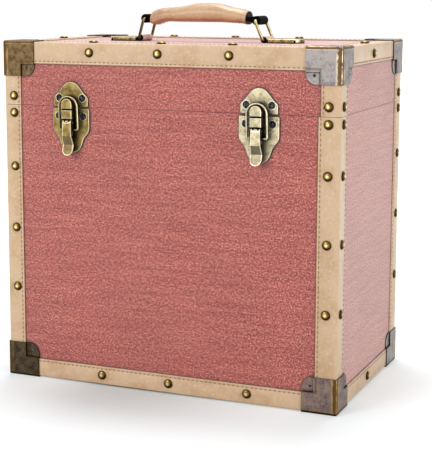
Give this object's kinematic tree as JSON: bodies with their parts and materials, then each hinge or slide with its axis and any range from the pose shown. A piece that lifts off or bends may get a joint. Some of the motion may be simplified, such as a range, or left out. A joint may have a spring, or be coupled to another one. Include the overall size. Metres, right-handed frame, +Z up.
{
  "type": "record carrying case",
  "caption": "Hard cloth-covered carrying case for 12-inch records, with a deep hinged lid, toggle latches, metal corner caps and a leather handle on wire rings.",
  "frame": {"origin": "middle of the whole outline, on the plane of the four bottom corner caps that the case stands on", "axes": "+Z up, +X to the right and +Y to the back when facing the latches"},
  "size_m": [0.3646, 0.2316, 0.3898],
  "materials": {
    "board": "raw fibreboard",
    "cloth": "rose slubbed twill",
    "lining": "dark brown lining cloth",
    "leatherette": "pale tan, stitched",
    "handle_leather": "tan, smooth",
    "stud_brass": "antiqued",
    "cap_metal": "antiqued, dull, worn edges",
    "cap_nail": "dark",
    "latch_brass": "antiqued",
    "hinge_brass": "antiqued",
    "ring_brass": "antiqued",
    "screw_steel": "blackened",
    "core_black": "black enamel"
  },
  "bodies": {
    "base": {"base_back_panel": "board", "base_bottom_bindings": "leatherette", "base_cap_nails": "cap_nail", "base_cloth_cover": "cloth", "base_corner_bindings": "leatherette", "base_floor_panel": "board", "base_front_panel": "board", "base_hinge_screws": "screw_steel", "base_latch_screws": "screw_steel", "base_left_panel": "board", "base_lining": "lining", "base_locating_lip": "board", "base_right_panel": "board", "base_studs": "stud_brass", "cap_bottom_back_left": "cap_metal", "cap_bottom_back_right": "cap_metal", "cap_bottom_front_left": "cap_metal", "cap_bottom_front_right": "cap_metal", "hinge_pins": "hinge_brass", "left_hinge_base_leaf": "hinge_brass", "left_latch_base_plate": "latch_brass", "left_latch_pivot_pin": "latch_brass", "right_hinge_base_leaf": "hinge_brass", "right_latch_base_plate": "latch_brass", "right_latch_pivot_pin": "latch_brass"},
    "lid": {"cap_top_back_left": "cap_metal", "cap_top_back_right": "cap_metal", "cap_top_front_left": "cap_metal", "cap_top_front_right": "cap_metal", "handle_left_chape": "handle_leather", "handle_left_plate": "ring_brass", "handle_plate_screws": "screw_steel", "handle_right_chape": "handle_leather", "handle_right_plate": "ring_brass", "left_hinge_lid_leaf": "hinge_brass", "left_latch_strike_plate": "latch_brass", "lid_back_panel": "board", "lid_cap_nails": "cap_nail", "lid_cloth_cover": "cloth", "lid_corner_bindings": "leatherette", "lid_front_panel": "board", "lid_hinge_screws": "screw_steel", "lid_latch_screws": "screw_steel", "lid_left_panel": "board", "lid_lining": "lining", "lid_right_panel": "board", "lid_studs": "stud_brass", "lid_top_bindings": "leatherette", "lid_top_panel": "board", "right_hinge_lid_leaf": "hinge_brass", "right_latch_strike_plate": "latch_brass"},
    "left_lever": {"left_latch_lever": "latch_brass"},
    "left_bail": {"left_latch_bail": "latch_brass"},
    "right_lever": {"right_latch_lever": "latch_brass"},
    "right_bail": {"right_latch_bail": "latch_brass"},
    "left_ring": {"handle_left_ring": "ring_brass"},
    "right_ring": {"handle_right_ring": "ring_brass"},
    "grip": {"handle_grip": "handle_leather", "handle_core": "core_black"}
  },
  "joints": [
    {"name": "lid_hinge", "type": "hinge", "parent": "base", "child": "lid", "pos_m": [0, 0.1126, 0.2866], "axis": [-1, 0, 0], "range_deg": [0, 105]},
    {"name": "left_lever_pivot", "type": "hinge", "parent": "base", "child": "left_lever", "pos_m": [-0.103, -0.1118, 0.271], "axis": [-1, 0, 0], "range_deg": [0, 90]},
    {"name": "left_bail_pivot", "type": "hinge", "parent": "left_lever", "child": "left_bail", "pos_m": [-0.103, -0.1103, 0.264], "axis": [-1, 0, 0], "range_deg": [-108, 0]},
    {"name": "right_lever_pivot", "type": "hinge", "parent": "base", "child": "right_lever", "pos_m": [0.0992, -0.1118, 0.271], "axis": [-1, 0, 0], "range_deg": [0, 90]},
    {"name": "right_bail_pivot", "type": "hinge", "parent": "right_lever", "child": "right_bail", "pos_m": [0.0992, -0.1103, 0.264], "axis": [-1, 0, 0], "range_deg": [-108, 0]},
    {"name": "left_ring_pivot", "type": "hinge", "parent": "lid", "child": "left_ring", "pos_m": [-0.0714, 0.0028, 0.353], "axis": [0, 1, 0], "range_deg": [-12, 12]},
    {"name": "grip_pivot", "type": "hinge", "parent": "left_ring", "child": "grip", "pos_m": [-0.0658, 0.0028, 0.37345], "axis": [0, 1, 0], "range_deg": [-13.4, 13.4]},
    {"name": "right_ring_pivot", "type": "hinge", "parent": "lid", "child": "right_ring", "pos_m": [0.0674, 0.0028, 0.353], "axis": [0, 1, 0], "range_deg": [-12, 12]}
  ],
  "couplings": [
    {"joint": "left_bail_pivot", "follows": "left_lever_pivot", "ratio": -1.2},
    {"joint": "right_bail_pivot", "follows": "right_lever_pivot", "ratio": -1.2},
    {"joint": "grip_pivot", "follows": "left_ring_pivot", "ratio": -1.111},
    {"joint": "right_ring_pivot", "follows": "left_ring_pivot", "ratio": 1}
  ]
}
